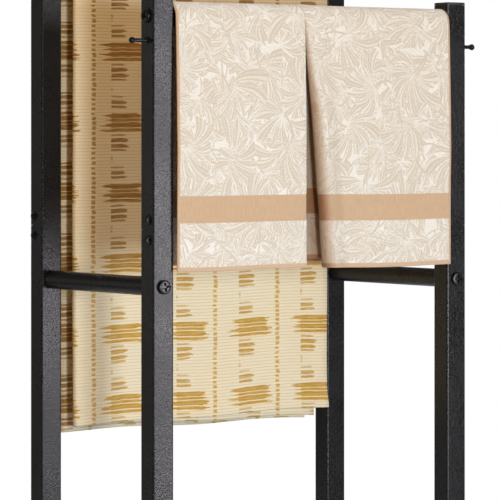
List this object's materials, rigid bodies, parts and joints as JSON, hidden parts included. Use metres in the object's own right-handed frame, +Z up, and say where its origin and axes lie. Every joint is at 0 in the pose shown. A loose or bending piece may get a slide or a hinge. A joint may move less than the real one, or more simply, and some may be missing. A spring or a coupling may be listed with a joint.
{
  "type": "quilt rack with quilt",
  "caption": "Free-standing black metal rack with a folded ikat quilt over its tall back bar and a folded leaf-pattern towel over its low front bar.",
  "frame": {"origin": "on the floor, in the middle of the bottom face of the whole object's box", "axes": "+Z up, +X from the left posts to the right posts as seen from the front, +Y from the low front bar to the tall back bar"},
  "size_m": [0.4504, 0.2652, 0.975],
  "materials": {
    "powder_black": "fine-grained matt black powder coat on steel tube",
    "bolt_black": "black-coated steel fasteners, slightly shinier than the tubes",
    "cap_black": "moulded matt black plastic",
    "dark_steel": "dark oxide-finished steel inside the posts",
    "towel_cotton": "ivory cotton with a tone-on-tone woven leaf pattern, a tan band and tan hems",
    "quilt_cotton": "cream channel-quilted cotton printed with an ochre ikat pattern"
  },
  "bodies": {
    "rack": {"back_bar": "powder_black", "back_crossbar": "powder_black", "back_left_bar_bolt": "bolt_black", "back_left_cap": "cap_black", "back_left_connector": "dark_steel", "back_left_crossbar_bolt": "bolt_black", "back_left_foot": "cap_black", "back_left_joint_screw_lower": "bolt_black", "back_left_joint_screw_upper": "bolt_black", "back_left_lower_rail_bolt": "bolt_black", "back_left_post_lower": "powder_black", "back_left_post_upper": "powder_black", "back_left_upper_rail_bolt": "bolt_black", "back_right_bar_bolt": "bolt_black", "back_right_cap": "cap_black", "back_right_connector": "dark_steel", "back_right_crossbar_bolt": "bolt_black", "back_right_foot": "cap_black", "back_right_joint_screw_lower": "bolt_black", "back_right_joint_screw_upper": "bolt_black", "back_right_lower_rail_bolt": "bolt_black", "back_right_post_lower": "powder_black", "back_right_post_upper": "powder_black", "back_right_upper_rail_bolt": "bolt_black", "front_bar": "powder_black", "front_crossbar": "powder_black", "front_left_bar_bolt": "bolt_black", "front_left_cap": "cap_black", "front_left_connector": "dark_steel", "front_left_crossbar_bolt": "bolt_black", "front_left_foot": "cap_black", "front_left_joint_screw_lower": "bolt_black", "front_left_joint_screw_upper": "bolt_black", "front_left_lower_rail_bolt": "bolt_black", "front_left_peg": "powder_black", "front_left_post_lower": "powder_black", "front_left_post_upper": "powder_black", "front_left_upper_rail_bolt": "bolt_black", "front_right_bar_bolt": "bolt_black", "front_right_cap": "cap_black", "front_right_connector": "dark_steel", "front_right_crossbar_bolt": "bolt_black", "front_right_foot": "cap_black", "front_right_joint_screw_lower": "bolt_black", "front_right_joint_screw_upper": "bolt_black", "front_right_lower_rail_bolt": "bolt_black", "front_right_peg": "powder_black", "front_right_post_lower": "powder_black", "front_right_post_upper": "powder_black", "front_right_upper_rail_bolt": "bolt_black", "left_lower_side_rail": "powder_black", "left_upper_side_rail": "powder_black", "right_lower_side_rail": "powder_black", "right_upper_side_rail": "powder_black"},
    "towel": {"towel": "towel_cotton"},
    "quilt": {"quilt": "quilt_cotton"}
  },
  "joints": [
    {"name": "towel_lift", "type": "slide", "parent": "rack", "child": "towel", "axis": [0, 0, 1], "range_m": [0, 0.3]},
    {"name": "quilt_lift", "type": "slide", "parent": "rack", "child": "quilt", "axis": [0, 0, 1], "range_m": [0, 0.78]}
  ]
}
